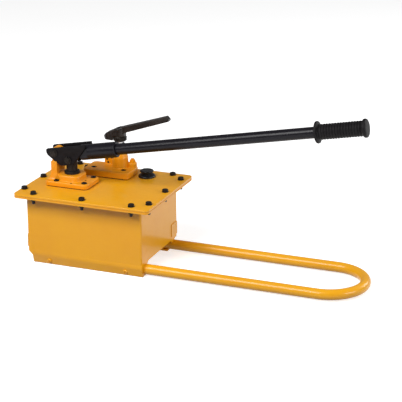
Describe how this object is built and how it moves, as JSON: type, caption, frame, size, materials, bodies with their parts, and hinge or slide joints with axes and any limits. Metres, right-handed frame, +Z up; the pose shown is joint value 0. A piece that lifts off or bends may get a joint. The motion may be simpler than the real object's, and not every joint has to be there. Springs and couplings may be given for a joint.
{
  "type": "hydraulic hand pump",
  "caption": "Two-stage hydraulic hand pump: box reservoir, U-shaped foot frame, long lever handle, plunger block and 4-way valve with lever.",
  "frame": {"origin": "middle of the whole pump's footprint, on the ground", "axes": "+X from the reservoir along the foot frame and the handle, +Z up, +Y towards the valve block"},
  "size_m": [0.8438, 0.288, 0.4201],
  "materials": {
    "yellow_enamel": "gloss",
    "yellow_casting": "gloss",
    "black_enamel": "satin",
    "black_oxide": "satin",
    "bright_steel": "polished",
    "black_rubber": "matte",
    "black_plastic": "satin",
    "gasket_fibre": "matte",
    "seal_rubber": "satin"
  },
  "bodies": {
    "base": {"tank": "yellow_enamel", "front_rail": "yellow_enamel", "back_rail": "yellow_enamel", "end_tabs": "yellow_enamel", "rail_screws": "yellow_enamel", "rail_bushes": "yellow_enamel", "frame_tube": "yellow_enamel", "lid": "yellow_enamel", "pump_block": "yellow_casting", "valve_block": "yellow_casting", "pump_block_screws": "yellow_casting", "oil_way_plugs": "yellow_casting", "relief_lock_nut": "yellow_casting", "lid_bolts": "black_oxide", "lid_washers": "black_oxide", "lid_nuts": "black_oxide", "drain_plug": "black_oxide", "gland_nut": "black_oxide", "valve_block_screws": "black_oxide", "gauge_port_plug": "black_oxide", "valve_bonnet": "black_oxide", "pump_barrel": "bright_steel", "foot_valve_body": "bright_steel", "suction_strainer": "bright_steel", "delivery_valve_body": "bright_steel", "delivery_spring": "bright_steel", "pressure_pipe": "bright_steel", "return_pipe": "bright_steel", "relief_screw": "bright_steel", "relief_ball": "bright_steel", "relief_spring": "bright_steel", "filler_strainer": "bright_steel", "frame_plugs": "black_plastic", "filler_neck": "black_plastic", "lid_gasket": "gasket_fibre", "pump_block_gasket": "gasket_fibre", "valve_block_gasket": "gasket_fibre", "drain_seal": "seal_rubber", "wiper_ring": "seal_rubber", "plunger_seal": "seal_rubber", "stem_seal": "seal_rubber"},
    "handle": {"fulcrum_pin": "black_oxide", "fulcrum_clips": "black_oxide", "front_yoke_plate": "black_enamel", "back_yoke_plate": "black_enamel", "plunger_pin": "black_oxide", "plunger_pin_clips": "black_oxide", "handle_socket": "black_enamel", "socket_grub_screw": "black_oxide", "handle_tube": "black_enamel", "handle_grip": "black_rubber"},
    "plunger": {"plunger": "black_oxide"},
    "valve_lever": {"valve_spool": "bright_steel", "lever_collar": "black_oxide", "valve_lever": "black_enamel", "lever_screw": "black_oxide"},
    "cap_seal": {"filler_cap_seal": "seal_rubber"},
    "filler_cap": {"filler_cap": "black_plastic"},
    "suction_ball": {"suction_ball": "bright_steel"},
    "delivery_ball": {"delivery_ball": "bright_steel"}
  },
  "joints": [
    {"name": "handle_stroke", "type": "hinge", "parent": "base", "child": "handle", "pos_m": [-0.35975, -0.023, 0.262], "axis": [0, -1, 0], "range_deg": [0, 45]},
    {"name": "plunger_slide", "type": "slide", "parent": "base", "child": "plunger", "axis": [0, 0, 1], "range_m": [0, 0.03107]},
    {"name": "valve_lever_turn", "type": "hinge", "parent": "base", "child": "valve_lever", "pos_m": [-0.24625, 0.094, 0.281], "axis": [0, 0, 1], "range_deg": [-35, 35]},
    {"name": "filler_cap_lift", "type": "slide", "parent": "base", "child": "cap_seal", "axis": [0, 0, 1], "range_m": [0, 0.006]},
    {"name": "filler_cap_turn", "type": "hinge", "parent": "cap_seal", "child": "filler_cap", "pos_m": [-0.17475, 0.093, 0.19], "axis": [0, 0, 1], "range_deg": [0, 1080]},
    {"name": "suction_ball_lift", "type": "slide", "parent": "base", "child": "suction_ball", "axis": [0, 0, 1], "range_m": [0, 0.0015]},
    {"name": "delivery_ball_lift", "type": "slide", "parent": "base", "child": "delivery_ball", "axis": [0, 1, 0], "range_m": [0, 0.0015], "stiffness_N_per_m": 200, "deforming": ["delivery_spring"]}
  ],
  "couplings": [
    {"joint": "plunger_slide", "follows": "handle_stroke", "m_per_rad": 0.039433},
    {"joint": "filler_cap_lift", "follows": "filler_cap_turn", "m_per_rad": 0.00031831}
  ]
}
